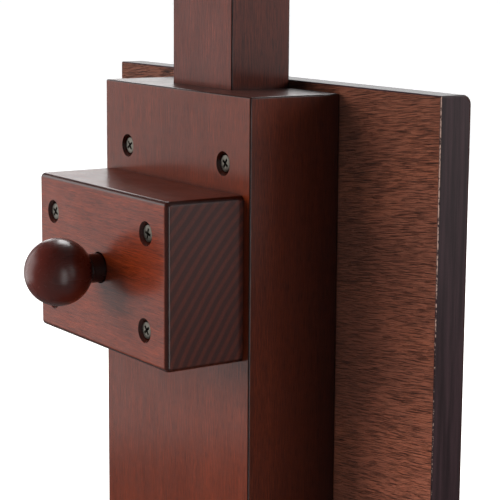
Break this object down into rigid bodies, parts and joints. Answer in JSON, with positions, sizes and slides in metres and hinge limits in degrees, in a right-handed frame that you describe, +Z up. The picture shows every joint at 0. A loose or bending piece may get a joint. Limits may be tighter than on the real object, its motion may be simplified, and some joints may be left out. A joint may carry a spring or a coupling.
{
  "type": "embroidery hoop on stand",
  "caption": "Free-standing wooden embroidery frame: a pin-locked post slides in a box column and carries a tilting, turning round hoop.",
  "frame": {"origin": "on the floor, under the middle of the outer box", "axes": "+Z up, -Y towards the person sewing (the side with the ball knob and the hoop), +X to the right when looking along +Y"},
  "size_m": [0.3, 0.5574, 0.6939],
  "materials": {
    "stained_wood": "dark reddish-brown stain under satin lacquer",
    "knob_wood": "very dark red-brown stain under gloss lacquer",
    "veneer": "open-pored stained veneer, thin satin lacquer",
    "zinc_steel": "bright zinc plate",
    "brass_bush": "turned brass",
    "felt": "dark felt"
  },
  "bodies": {
    "stand": {"column_front": "stained_wood", "column_stile_left": "stained_wood", "column_stile_right": "stained_wood", "column_plug": "stained_wood", "lock_block": "stained_wood", "base_board": "stained_wood", "foot_left": "stained_wood", "foot_right": "stained_wood", "back_panel": "veneer", "plunger_spring": "zinc_steel", "pin_bush": "brass_bush", "foot_pad_front_left": "felt", "foot_pad_front_right": "felt", "foot_pad_back_left": "felt", "foot_pad_back_right": "felt", "top_screw_left": "zinc_steel", "top_screw_right": "zinc_steel", "bottom_screw_left": "zinc_steel", "bottom_screw_right": "zinc_steel", "block_screw_upper_left": "zinc_steel", "block_screw_upper_right": "zinc_steel", "block_screw_lower_left": "zinc_steel", "block_screw_lower_right": "zinc_steel", "panel_screw_top_left": "zinc_steel", "panel_screw_top_right": "zinc_steel", "panel_screw_middle_left": "zinc_steel", "panel_screw_middle_right": "zinc_steel", "panel_screw_bottom_left": "zinc_steel", "panel_screw_bottom_right": "zinc_steel", "foot_screw_front_left": "zinc_steel", "foot_screw_front_right": "zinc_steel", "foot_screw_back_left": "zinc_steel", "foot_screw_back_right": "zinc_steel", "column_screw_left": "zinc_steel", "column_screw_right": "zinc_steel", "panel_foot_screw_left": "zinc_steel", "panel_foot_screw_right": "zinc_steel"},
    "plunger": {"ball_knob": "knob_wood", "lock_pin": "zinc_steel"},
    "post": {"post": "stained_wood", "tilt_bolt": "zinc_steel", "tilt_washer": "zinc_steel"},
    "tilt_knob": {"tilt_knob": "knob_wood"},
    "arm": {"tilt_arm": "stained_wood", "clamp_bolt": "zinc_steel", "clamp_washer": "zinc_steel"},
    "clamp_knob": {"clamp_knob": "knob_wood"},
    "hoop": {"swivel_dowel": "stained_wood", "saddle": "stained_wood", "outer_ring": "stained_wood", "tension_nut": "zinc_steel", "saddle_screw_left": "zinc_steel", "saddle_screw_right": "zinc_steel", "tension_lug_left": "zinc_steel", "tension_lug_right": "zinc_steel", "lug_rivet_left": "zinc_steel", "lug_rivet_right": "zinc_steel"},
    "inner_ring": {"inner_ring": "stained_wood"},
    "tension_screw": {"tension_screw": "zinc_steel"}
  },
  "joints": [
    {"name": "knob_pull", "type": "slide", "parent": "stand", "child": "plunger", "axis": [0, -1, 0], "range_m": [0, 0.013], "stiffness_N_per_m": 1000, "springref_m": -0.01, "deforming": ["plunger_spring"]},
    {"name": "post_slide", "type": "slide", "parent": "stand", "child": "post", "axis": [0, 0, 1], "range_m": [0, 0.24]},
    {"name": "tilt_knob_turn", "type": "hinge", "parent": "post", "child": "tilt_knob", "pos_m": [0, 0.1193, 0.67], "axis": [1, 0, 0], "continuous": true},
    {"name": "arm_tilt", "type": "hinge", "parent": "post", "child": "arm", "pos_m": [0, 0.1193, 0.67], "axis": [-1, 0, 0], "range_deg": [-25, 90]},
    {"name": "clamp_knob_turn", "type": "hinge", "parent": "arm", "child": "clamp_knob", "pos_m": [0, 0.0253, 0.6808], "axis": [1, 0, 0], "continuous": true},
    {"name": "hoop_turn", "type": "hinge", "parent": "arm", "child": "hoop", "pos_m": [0, 0.0113, 0.67], "axis": [0, -1, 0], "continuous": true},
    {"name": "inner_ring_lift", "type": "slide", "parent": "hoop", "child": "inner_ring", "axis": [0, 0, 1], "range_m": [0, 0.03]},
    {"name": "tension_screw_turn", "type": "hinge", "parent": "hoop", "child": "tension_screw", "pos_m": [0, -0.2727, 0.67], "axis": [1, 0, 0], "continuous": true}
  ]
}
